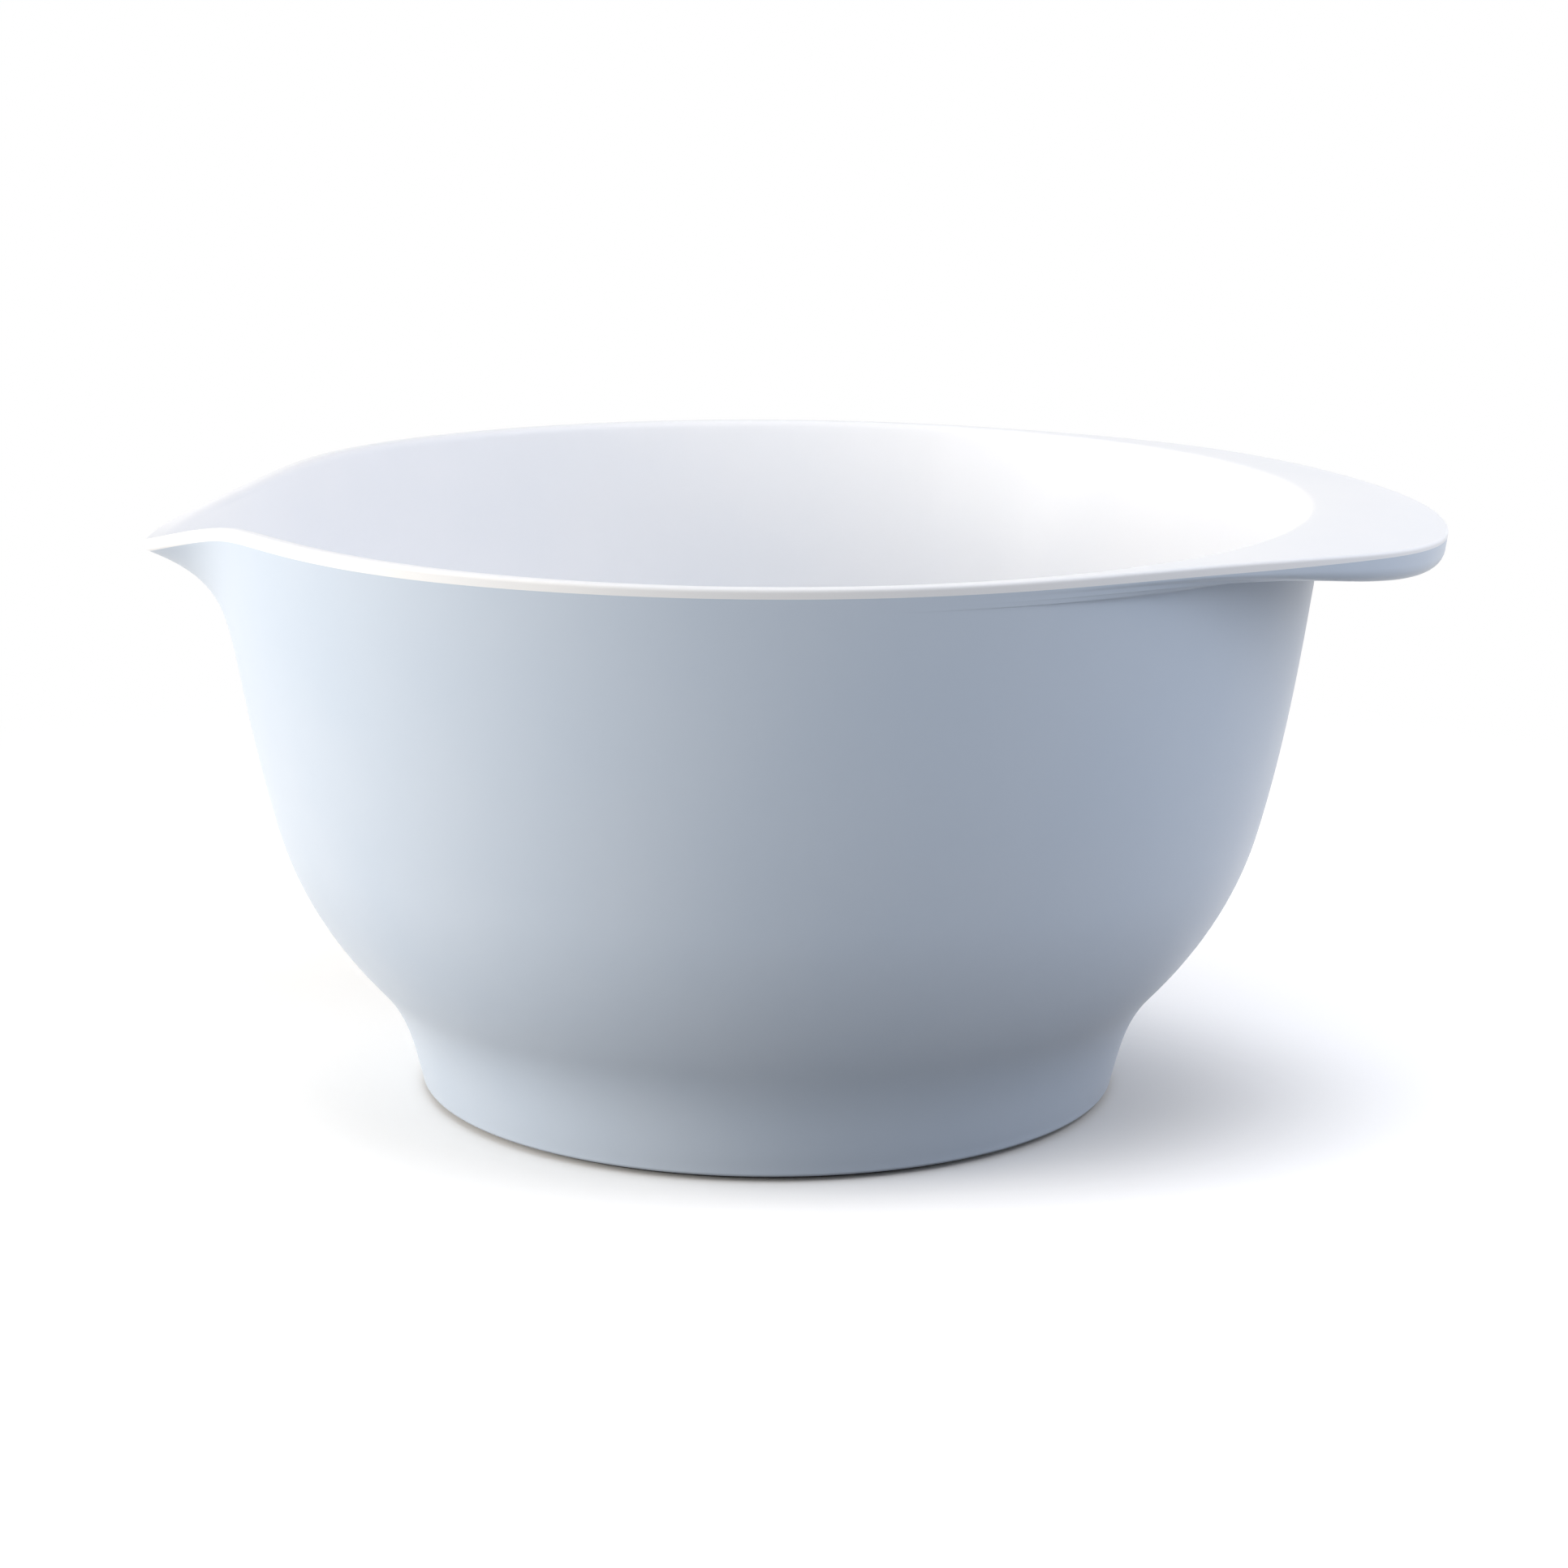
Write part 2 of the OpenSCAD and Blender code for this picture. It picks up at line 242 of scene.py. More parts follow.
@dataclass(frozen=True)
class Rim:
    """Sizes of the rounded rim and of the white moulding's wrap over it, in metres and degrees."""

    wrap: float = 2.1 * MM
    wrap_spout_extra: float = 0.7 * MM
    wrap_grip_less: float = 0.8 * MM
    wrap_power: float = 6
    deep_spread: float = 62
    thin_spread: float = 34
    round_in: float = 1.7 * MM
    round_out: float = 0.9 * MM

    def wrap_at(self, angle: np.ndarray) -> np.ndarray:
        """Gives how deep the white moulding reaches over the outside.

        Args:
            angle: Angles from the grip, in degrees.

        Returns:
            The depths below the rim, in metres.
        """
        deeper = self.wrap_spout_extra * hump(from_spout(angle), self.deep_spread, self.wrap_power)
        less = self.wrap_grip_less * hump(from_grip(angle), self.thin_spread, self.wrap_power)
        return self.wrap + deeper - less


@dataclass(frozen=True)
class Foot:
    """Sizes of the foot, its recess and the groove for the ring, in metres and degrees."""

    radius: float = 78.3 * MM
    lean: float = 14.5
    gap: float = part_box("outer_shell")[0].z
    round: float = 1 * MM
    width: float = 11.4 * MM
    recess: float = 4 * MM
    recess_round: float = 1.4 * MM
    fine_round: float = 0.3 * MM
    ring_clear: float = 0.25 * MM

    @property
    def side_h(self) -> float:
        """Height at which the foot's side begins, above its rounded bottom edge."""
        return self.gap + self.round

    @property
    def inner_r(self) -> float:
        """Radius of the recess under the bowl."""
        return self.radius - self.width


@dataclass(frozen=True)
class Bowl:
    """Sizes of the bowl, in metres and degrees, and the surfaces that follow from them."""

    rim_r: float = 121.9 * MM
    rim_h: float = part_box("inner_shell")[1].z
    rim_lean: float = 7.5
    shoulder: Station = Station(62 * MM, 109.6 * MM, 15)
    waist: Station = Station(27 * MM, 89.5 * MM, 43)
    wall: float = 3.6 * MM
    liner: float = 1.8 * MM
    floor_h: float = 7.9 * MM
    floor_r: float = 44 * MM
    bowl_pull: float = 0.52
    floor_pull: float = 0.42
    spout: Spout = Spout()
    grip: Grip = Grip()
    rim: Rim = Rim()
    foot: Foot = Foot()
    probe_angle: float = 0.25
    probe_h: float = 0.1 * MM

    @property
    def bond_share(self) -> float:
        """Share of the wall's thickness that lies outside the bond between the mouldings."""
        return (self.wall - self.liner) / self.wall

    @property
    def upper_top(self) -> float:
        """Height at which the grip's edge and fillet have run out into the wall."""
        return self.rim_h - self.grip.merge_depth

    def inner_top(self, angle: np.ndarray) -> np.ndarray:
        """Returns the skin's height behind the rim's inner corner, which keeps the corner level."""
        depth = self.wall * math.sin(math.radians(self.rim_lean))
        return self.rim_h - mix(depth, self.spout.lip_corner, self.spout.share(angle))

    def thin(self, angle: np.ndarray) -> np.ndarray:
        """Returns the rim's thickness at each angle as a share of the wall's, in a column."""
        return (1 - (1 - self.spout.lip / self.wall) * self.spout.share(angle))[:, None]

    def stations(self) -> list[Station]:
        """Lists the stations of the outer skin, from the foot to the rim."""
        foot = Station(self.foot.side_h, self.foot.radius, self.foot.lean)
        return [foot, self.waist, self.shoulder, Station(self.rim_h, self.rim_r, self.rim_lean)]

    def radius(self, height: np.ndarray) -> np.ndarray:
        """Gives the round bowl's outer radius on smooth curves between its stations.

        Args:
            height: Heights above the table, in metres.

        Returns:
            The radius at each height, in metres.
        """
        height = np.asarray(height, float)
        stations = self.stations()
        curves, limits = [], []
        for low, high in zip(stations, stations[1:]):
            run = high.height - low.height
            u = (height - low.height) / run
            curves.append((2 * u**3 - 3 * u**2 + 1) * low.radius
                          + (u**3 - 2 * u**2 + u) * run * math.tan(math.radians(low.lean))
                          + (3 * u**2 - 2 * u**3) * high.radius
                          + (u**3 - u**2) * run * math.tan(math.radians(high.lean)))
            limits.append(height < high.height)
        return np.select(limits[:-1], curves[:-1], curves[-1])

    def skin(self, angle: np.ndarray, height: np.ndarray) -> np.ndarray:
        """Returns points of the outer skin without the grip, at angles and heights on the round bowl."""
        return place(angle, *self.skin_section(angle, height, self.spout.edge_turn))

    def core(self, angle: np.ndarray, height: np.ndarray) -> np.ndarray:
        """Returns points of the skin as the wall's inside follows it, gentler below the lip's edge."""
        return place(angle, *self.skin_section(angle, height, self.spout.core_turn))

    def skin_section(self, angle: np.ndarray, height: np.ndarray,
                     turn: float) -> tuple[np.ndarray, np.ndarray]:
        """Gives the radius and height of the outer skin, with the spout's flare and dip.

        Args:
            angle: Angles from the grip, in degrees.
            height: Heights on the round bowl, in metres.
            turn: How sharply the lip turns in below its edge.

        Returns:
            The radii and the heights, in metres.
        """
        spout = self.spout
        turned = spout.turned(self.rim_h - np.asarray(height, float), turn)
        radius = self.radius(height) + spout.reach * spout.share(angle) * spout.flare_share(turned)
        return radius, height - spout.dip_at(angle) * spout.dip_share(turned)

    def core_up(self, angle: np.ndarray, height: np.ndarray) -> np.ndarray:
        """Returns the direction up along the wall at each angle."""
        return unit(self.core(angle, height + self.probe_h) - self.core(angle, height - self.probe_h))

    def core_out(self, angle: np.ndarray, height: np.ndarray) -> np.ndarray:
        """Gives the direction straight out of the wall.

        Args:
            angle: Angles from the grip, in degrees.
            height: Heights on the round bowl, in metres.

        Returns:
            One vector of length 1 for each angle.
        """
        onward = self.core(angle + self.probe_angle, height)
        back = self.core(angle - self.probe_angle, height)
        return unit(np.cross(onward - back, self.core_up(angle, height)))

    def behind(self, angle: np.ndarray, height: np.ndarray, share: float) -> np.ndarray:
        """Gives points inside the wall, which thins towards the tip of the lip.

        Args:
            angle: Angles from the grip, in degrees.
            height: Heights on the round bowl, in metres.
            share: Share of the wall's thickness behind the outer skin.

        Returns:
            The points.
        """
        thinning = self.spout.thinning(angle, self.rim_h - height)
        thickness = self.wall - (self.wall - self.spout.lip) * thinning
        return self.core(angle, height) - (share * thickness)[:, None] * self.core_out(angle, height)

    def bottom(self, angle: np.ndarray, share: float, level: float, along: float) -> np.ndarray:
        """Gives points on the curve from the wall at the waist down to the flat floor.

        Args:
            angle: Angles from the grip, in degrees.
            share: Share of the wall's thickness behind the outer skin, where the curve begins.
            level: Height of the flat floor that it reaches, in metres.
            along: Share of the way along the curve.

        Returns:
            The points.
        """
        top = self.behind(angle, self.waist.height, share)
        down = -self.core_up(angle, self.waist.height)
        edge = place(angle, self.floor_r, level)
        inwards = place(angle, -1, 0)
        first = top + down * self.bowl_pull * (self.waist.height - level)
        second = edge - inwards * self.floor_pull * (self.waist.radius - self.floor_r)
        rest = 1 - along
        return (rest**3 * top + 3 * rest**2 * along * first
                + 3 * rest * along**2 * second + along**3 * edge)

    def grip_point(self, angle: np.ndarray, height: np.ndarray, inset: float) -> np.ndarray:
        """Gives points of the grip's outline, out from the skin with the plate's droop.

        Args:
            angle: Angles from the grip, in degrees.
            height: Heights on the round bowl, in metres.
            inset: Distance in from the outline where the grip is longest, in metres.

        Returns:
            The points.
        """
        out = self.grip.out(angle) * (1 - inset / self.grip.reach)
        radius, level = self.skin_section(angle, height, self.spout.edge_turn)
        return place(angle, radius + out, level - self.grip.droop_at(out))

    def edge(self, angle: np.ndarray, inset: float, depth: float, along: float) -> np.ndarray:
        """Gives points of the turned edge, which lies on the plain wall where the grip has run out.

        Args:
            angle: Angles from the grip, in degrees.
            inset: Distance in from the grip's outline, in metres.
            depth: Depth below the plate's top where the edge is fully turned down, in metres.
            along: Share of the way from the seam to the plain wall.

        Returns:
            The points.
        """
        plain = mix(self.rim.wrap_at(angle), self.grip.merge_depth, along)
        turned = self.grip.edge_share(angle)
        below = plain * (1 - turned) + depth * turned
        return self.grip_point(angle, self.rim_h - below, inset)

    def seam(self, angle: np.ndarray) -> np.ndarray:
        """Returns the line where the two mouldings' colours meet on the outside."""
        return self.grip_point(angle, self.rim_h - self.rim.wrap_at(angle), 0)

    def plate_sag(self, angle: np.ndarray, share: float) -> np.ndarray:
        """Returns the lift that bends a straight way across the plate to the plate's droop."""
        lift = (share - share**2) * self.grip.droop_at(self.grip.out(angle))
        return np.stack([np.zeros_like(lift), np.zeros_like(lift), lift], axis=-1)

    def bond(self, angle: np.ndarray, share: float) -> np.ndarray:
        """Returns points of the bond under the plate, from the wall at 0 to the seam at 1."""
        inner = self.behind(angle, self.rim_h - self.rim.wrap_at(angle), self.bond_share)
        return mix(inner, self.seam(angle), share) + self.plate_sag(angle, share)

    def inner_round(self, angle: np.ndarray, share: float) -> np.ndarray:
        """Gives points of the rim's rounded inner edge, from the wall at 0 to the top at 1.

        Args:
            angle: Angles from the grip, in degrees.
            share: Share of the way round the edge.

        Returns:
            The points.
        """
        height = self.inner_top(angle)
        bend, size = self.behind(angle, height, 1), self.rim.round_in * self.thin(angle)
        start = bend - size * self.core_up(angle, height)
        return corner(start, bend, bend + size * self.across(angle), share)

    def outer_round(self, angle: np.ndarray, share: float) -> np.ndarray:
        """Returns points of the rim's rounded outer edge, from the top at 0 to the side at 1."""
        bend, size = self.grip_point(angle, self.rim_h, 0), self.rim.round_out * self.thin(angle)
        return corner(bend - size * self.across(angle), bend, self.band(angle, 0), share)

    def band(self, angle: np.ndarray, share: float) -> np.ndarray:
        """Returns points down the white outside of the rim, from its rounded edge at 0 to the seam at 1."""
        start = self.rim.round_out * self.thin(angle)[:, 0]
        return self.grip_point(angle, self.rim_h - mix(start, self.rim.wrap_at(angle), share), 0)

    def inner_last(self, angle: np.ndarray) -> np.ndarray:
        """Returns points of the inner wall halfway from the top row of the wall to the rim's corner."""
        return self.behind(angle, (self.upper_top + self.inner_top(angle)) / 2, 1)

    def across(self, angle: np.ndarray) -> np.ndarray:
        """Gives the direction out across the top of the rim and the plate.

        Args:
            angle: Angles from the grip, in degrees.

        Returns:
            One vector of length 1 for each angle.
        """
        way = self.grip_point(angle, self.rim_h, 0) - self.behind(angle, self.inner_top(angle), 1)
        way[:, 2] += self.grip.droop_at(self.grip.out(angle))
        return unit(way)

    def top(self, angle: np.ndarray, share: float) -> np.ndarray:
        """Returns points across the top of the rim and the plate, from the inner edge at 0."""
        start, end = self.inner_round(angle, 1), self.outer_round(angle, 0)
        return mix(start, end, share) + self.plate_sag(angle, share)


@dataclass(frozen=True)
class Mesher:
    """Numbers of faces on the pieces, and how they crowd towards the spout and the grip.

    At the angle plain_side, both have run out, and the section there is that of the round bowl.
    """

    turns: int = 320
    crowding: float = 0.22
    plain_side: float = 90
    flat_rows: int = 3
    foot_rows: int = 14
    belly_rows: int = 16
    upper_rows: int = 30
    upper_power: float = 1.4
    floor_rows: int = 22
    plate_rows: int = 14
    bond_rows: int = 8
    band_rows: int = 8
    round_rows: int = 8
    weld: float = 0.0001 * MM
    smooth_angle: float = math.radians(38)

    def turn_rows(self, name: str, rows: list[Row]) -> bpy.types.Object:
        """Spins the plain section of the rows round the upright axis, then draws out spout and grip.

        The section is a chain of points, extruded one from the next out of a plane that is merged to
        a point, and spun in edit mode. Where the real skin leaves the round, no spin can follow it, so
        each point then moves along its row to its own place.

        Args:
            name: Name of the new piece.
            rows: The rows from one pole to the other.

        Returns:
            The closed piece, smooth and with its faces outwards.
        """
        section = [row(np.array([self.plain_side]))[0] for row in rows]
        piece = self.spin(name, [(math.hypot(x, y), z) for x, y, z in section])
        mesh = piece.data
        points = np.zeros(len(mesh.vertices) * 3)
        mesh.vertices.foreach_get("co", points)
        points = points.reshape(-1, 3)
        row_of = np.zeros(len(mesh.vertices), np.int32)
        mesh.attributes["row"].data.foreach_get("value", row_of)
        turned = np.degrees(np.arctan2(points[:, 1], points[:, 0]))
        angle = turned - self.crowding / 2 * np.degrees(np.sin(2 * np.radians(turned)))
        for number, row in enumerate(rows):
            members = np.flatnonzero(row_of == number)
            points[members] = row(angle[members])
        mesh.vertices.foreach_set("co", points.ravel())
        mesh.attributes.remove(mesh.attributes["row"])
        mesh.update()
        return self.close(piece)

    def spin(self, name: str, outline: Outline) -> bpy.types.Object:
        """Extrudes an outline point by point and spins it round the upright axis.

        Args:
            name: Name of the new piece.
            outline: The section. It begins and ends on the axis, or meets itself.

        Returns:
            The spun piece, with the outline's point numbers in an attribute named row.
        """
        bpy.ops.object.select_all(action="DESELECT")
        radius, height = outline[0]
        bpy.ops.mesh.primitive_plane_add(size=self.weld, location=(0, 0, 0))
        piece = bpy.context.object
        piece.name = piece.data.name = name
        bpy.ops.object.mode_set(mode="EDIT")
        bpy.ops.mesh.select_all(action="SELECT")
        bpy.ops.mesh.merge(type="CENTER")
        bpy.ops.transform.translate(value=(radius, 0, height))
        for (r0, z0), (r1, z1) in zip(outline, outline[1:]):
            bpy.ops.mesh.extrude_vertices_move(TRANSFORM_OT_translate={"value": (r1 - r0, 0, z1 - z0)})
        bpy.ops.object.mode_set(mode="OBJECT")
        numbers = piece.data.attributes.new("row", "INT", "POINT")
        numbers.data.foreach_set("value", np.arange(len(outline), dtype=np.int32))
        bpy.ops.object.mode_set(mode="EDIT")
        bpy.ops.mesh.select_all(action="SELECT")
        bpy.ops.mesh.spin(steps=self.turns, angle=2 * math.pi, center=(0, 0, 0), axis=(0, 0, 1))
        bpy.ops.mesh.select_all(action="SELECT")
        bpy.ops.mesh.remove_doubles(threshold=self.weld)
        bpy.ops.object.mode_set(mode="OBJECT")
        return piece

    def close(self, piece: bpy.types.Object) -> bpy.types.Object:
        """Turns the faces of a closed piece outwards and shades it smooth between its edges.

        Args:
            piece: The piece, whose mesh is closed.

        Returns:
            The same piece.
        """
        bpy.ops.object.select_all(action="DESELECT")
        piece.select_set(True)
        bpy.context.view_layer.objects.active = piece
        bpy.ops.object.mode_set(mode="EDIT")
        bpy.ops.mesh.select_all(action="SELECT")
        bpy.ops.mesh.normals_make_consistent(inside=False)
        bpy.ops.object.mode_set(mode="OBJECT")
        bpy.ops.object.shade_smooth_by_angle(angle=self.smooth_angle)
        return piece

    def wall_heights(self, bowl: Bowl) -> list[float]:
        """Lists the heights of the rows on the wall, from the waist to below the rim.

        Args:
            bowl: The bowl's sizes.

        Returns:
            The heights in metres, closer together towards the rim.
        """
        belly = [mix(bowl.waist.height, bowl.shoulder.height, k / self.belly_rows)
                 for k in range(self.belly_rows)]
        upper = [mix(bowl.upper_top, bowl.shoulder.height, (1 - k / self.upper_rows) ** self.upper_power)
                 for k in range(self.upper_rows + 1)]
        return belly + upper

    def bond(self, bowl: Bowl) -> list[Row]:
        """Lists the rows of the bond between the mouldings, from the seam to the middle of the floor.

        Args:
            bowl: The bowl's sizes.

        Returns:
            The rows, which both mouldings share.
        """
        level = bowl.floor_h - bowl.liner
        rows = [partial(bowl.bond, share=k / self.bond_rows) for k in range(self.bond_rows, -1, -1)]
        rows += [partial(bowl.behind, height=h, share=bowl.bond_share)
                 for h in reversed(self.wall_heights(bowl))]
        rows += [partial(bowl.bottom, share=bowl.bond_share, level=level, along=k / self.floor_rows)
                 for k in range(1, self.floor_rows + 1)]
        rows.append(partial(place, radius=0, height=level))
        return rows


def arc(centre: tuple[float, float], radius: float, start: float, end: float, steps: int) -> Outline:
    """Lists the points of an arc about a centre, between two angles in degrees from outwards."""
    turns = [math.radians(mix(start, end, k / steps)) for k in range(steps + 1)]
    return [(centre[0] + radius * math.cos(t), centre[1] + radius * math.sin(t)) for t in turns]


@dataclass(frozen=True)
class Pattern:
    """A noise pattern: the width of its patches in metres, and the number of finer layers in it."""

    size: float
    layers: int


@dataclass(frozen=True)
class Nodes:
    """Builds a material's node tree step by step."""

    tree: bpy.types.NodeTree

    def add(self, kind: str, **inputs: object) -> bpy.types.Node:
        """Adds a node and sets or links its inputs.

        Args:
            kind: Blender's name for the node's type.
            **inputs: Input names, with _ for a space, and a value or an output socket for each.

        Returns:
            The new node.
        """
        node = self.tree.nodes.new(kind)
        for name, value in inputs.items():
            socket = node.inputs[name.replace("_", " ")]
            if isinstance(value, Socket):
                self.tree.links.new(value, socket)
            else:
                socket.default_value = value
        return node

    def noise(self, pattern: Pattern, where: Socket) -> Socket:
        """Adds a noise pattern at the coordinates and returns the socket with its height."""
        node = self.add("ShaderNodeTexNoise", Vector=where, Scale=1 / pattern.size, Detail=pattern.layers)
        return node.outputs["Fac"]

    def ramp(self, share: Socket, low: float | Socket, high: float | Socket, **ends: float) -> Socket:
        """Returns a value from low to high as the share goes from 0 to 1, or between other ends."""
        node = self.add("ShaderNodeMapRange", Value=share, To_Min=low, To_Max=high, **ends)
        return node.outputs["Result"]

    def spread(self, height: Socket, low: float, high: float) -> Socket:
        """Returns a noise pattern's height with its middle range spread from low to high."""
        return self.ramp(height, low, high, From_Min=NOISE_LOW, From_Max=NOISE_HIGH)

    def tint(self, share: Socket, first: ScreenColour, second: ScreenColour) -> Socket:
        """Mixes two colours by a pattern.

        Args:
            share: Socket with the pattern, from 0 to 1.
            first: Colour at 0.
            second: Colour at 1.

        Returns:
            The socket with the colour.
        """
        node = self.tree.nodes.new("ShaderNodeMix")
        node.data_type = "RGBA"
        self.tree.links.new(share, node.inputs["Factor"])
        colours = [socket for socket in node.inputs if socket.type == "RGBA"]
        colours[0].default_value = linear(first)
        colours[1].default_value = linear(second)
        return next(socket for socket in node.outputs if socket.type == "RGBA")

    def maths(self, operation: str, first: Socket, second: Socket) -> Socket:
        """Works out a sum, product or like of two values.

        Args:
            operation: Blender's name for it.
            first: Socket with the first value.
            second: Socket with the second value.

        Returns:
            The socket with the result.
        """
        node = self.tree.nodes.new("ShaderNodeMath")
        node.operation = operation
        self.tree.links.new(first, node.inputs[0])
        self.tree.links.new(second, node.inputs[1])
        return node.outputs["Value"]

    def fade(self, where: Socket, start: float, end: float) -> Socket:
        """Rises softly from 0 to 1 with the distance from the middle.

        Args:
            where: Socket with the coordinates.
            start: Distance at which it leaves 0, in metres.
            end: Distance at which it reaches 1.

        Returns:
            The socket with the value.
        """
        out = self.add("ShaderNodeVectorMath", Vector=where)
        out.operation = "LENGTH"
        rise = self.add("ShaderNodeMapRange", Value=out.outputs["Value"], From_Min=start, From_Max=end)
        rise.interpolation_type = "SMOOTHSTEP"
        return rise.outputs["Result"]

    def seen(self) -> Socket:
        """Tells what is looked at, straight or in a gloss, from the light that it gives.

        Returns:
            The socket with 1 where it is looked at and 0 for its light.
        """
        rays = self.add("ShaderNodeLightPath").outputs
        mirrored = self.maths("MAXIMUM", rays["Is Glossy Ray"], rays["Is Transmission Ray"])
        return self.maths("MAXIMUM", rays["Is Camera Ray"], mirrored)

    def choose(self, share: Socket, first: Socket, second: Socket) -> Socket:
        """Mixes two shaders.

        Args:
            share: Socket with 0 for the first shader and 1 for the second.
            first: The first shader.
            second: The second shader.

        Returns:
            The socket with the mixed shader.
        """
        node = self.tree.nodes.new("ShaderNodeMixShader")
        for socket, source in zip(node.inputs, (share, first, second)):
            self.tree.links.new(source, socket)
        return node.outputs["Shader"]


def start_nodes(owner: bpy.types.Material | bpy.types.World) -> Nodes:
    """Gives a material or the surroundings an empty node tree.

    Args:
        owner: The material, or the world of the surroundings.

    Returns:
        The builder of its nodes.
    """
    owner.use_nodes = True
    owner.node_tree.nodes.clear()
    return Nodes(owner.node_tree)


def linear(colour: ScreenColour) -> tuple[float, float, float, float]:
    """Turns a colour as a screen shows it into the linear colour that shaders take.

    Args:
        colour: The colour on a screen, by the usual sRGB curve.

    Returns:
        The linear colour with alpha 1.
    """
    shares = [value / 255 for value in colour]
    values = [s / 12.92 if s <= 0.04045 else ((s + 0.055) / 1.055) ** 2.4 for s in shares]
    return (*values, 1.0)


@dataclass(frozen=True)
class Melamine:
    """Polished moulded melamine: an even colour, a soft gloss and the faint unevenness of the mould."""

    name: str
    colour: ScreenColour
    cloud_colour: ScreenColour
    clouds: Pattern = Pattern(34 * MM, 3)
    wipes: Pattern = Pattern(22 * MM, 5)
    gloss_low: float = 0.28
    gloss_high: float = 0.33
    gloss_level: float = 0.15
    skin: Pattern = Pattern(2.6 * MM, 1)
    skin_depth: float = 0.006 * MM
    grain: Pattern = Pattern(0.35 * MM, 2)
    grain_depth: float = 0.0012 * MM
    coat: float = 0.08
    coat_roughness: float = 0.1

    def make(self) -> bpy.types.Material:
        """Builds the material: clouded colour, wiped gloss, and two scales of fine relief.

        Returns:
            The material.
        """
        material = bpy.data.materials.new(self.name)
        nodes = start_nodes(material)
        where = nodes.add("ShaderNodeTexCoord").outputs["Object"]
        clouds = nodes.spread(nodes.noise(self.clouds, where), 0, 1)
        skin = nodes.add("ShaderNodeBump", Strength=1, Distance=self.skin_depth,
                         Height=nodes.noise(self.skin, where))
        grain = nodes.add("ShaderNodeBump", Strength=1, Distance=self.grain_depth,
                          Height=nodes.noise(self.grain, where), Normal=skin.outputs["Normal"])
        shader = nodes.add(
            "ShaderNodeBsdfPrincipled",
            Base_Color=nodes.tint(clouds, self.colour, self.cloud_colour),
            Roughness=nodes.spread(nodes.noise(self.wipes, where), self.gloss_low, self.gloss_high),
            IOR=REFRACTION,
            Specular_IOR_Level=self.gloss_level,
            Coat_Weight=self.coat,
            Coat_Roughness=self.coat_roughness,
            Normal=grain.outputs["Normal"],
        )
        nodes.add("ShaderNodeOutputMaterial", Surface=shader.outputs["BSDF"])
        return material


@dataclass(frozen=True)
class SoftRubber:
    """Matt rubber with a fine grain and a little dust in it."""

    name: str
    colour: ScreenColour
    dust_colour: ScreenColour
    dust: Pattern = Pattern(5 * MM, 6)
    grain: Pattern = Pattern(0.4 * MM, 3)
    grain_depth: float = 0.02 * MM
    matt_low: float = 0.6
    matt_high: float = 0.8

    def make(self) -> bpy.types.Material:
        """Builds the material: dusty colour, matt surface and fine grain.

        Returns:
            The material.
        """
        material = bpy.data.materials.new(self.name)
        nodes = start_nodes(material)
        where = nodes.add("ShaderNodeTexCoord").outputs["Object"]
        dust = nodes.spread(nodes.noise(self.dust, where), 0, 1)
        grain = nodes.noise(self.grain, where)
        bump = nodes.add("ShaderNodeBump", Strength=1, Distance=self.grain_depth, Height=grain)
        shader = nodes.add(
            "ShaderNodeBsdfPrincipled",
            Base_Color=nodes.tint(dust, self.colour, self.dust_colour),
            Roughness=nodes.spread(grain, self.matt_low, self.matt_high),
            IOR=REFRACTION,
            Normal=bump.outputs["Normal"],
        )
        nodes.add("ShaderNodeOutputMaterial", Surface=shader.outputs["BSDF"])
        return material


def dress(piece: bpy.types.Object, finish: Melamine | SoftRubber, node: str) -> None:
    """Gives a piece its finish and puts it in the place of its CAD node.

    Args:
        piece: The finished mesh.
        finish: Its material.
        node: The CAD node that it stands for.
    """
    piece.data.materials.clear()
    piece.data.materials.append(finish.make())
    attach(piece, ROOT_BODY)
    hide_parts(node)


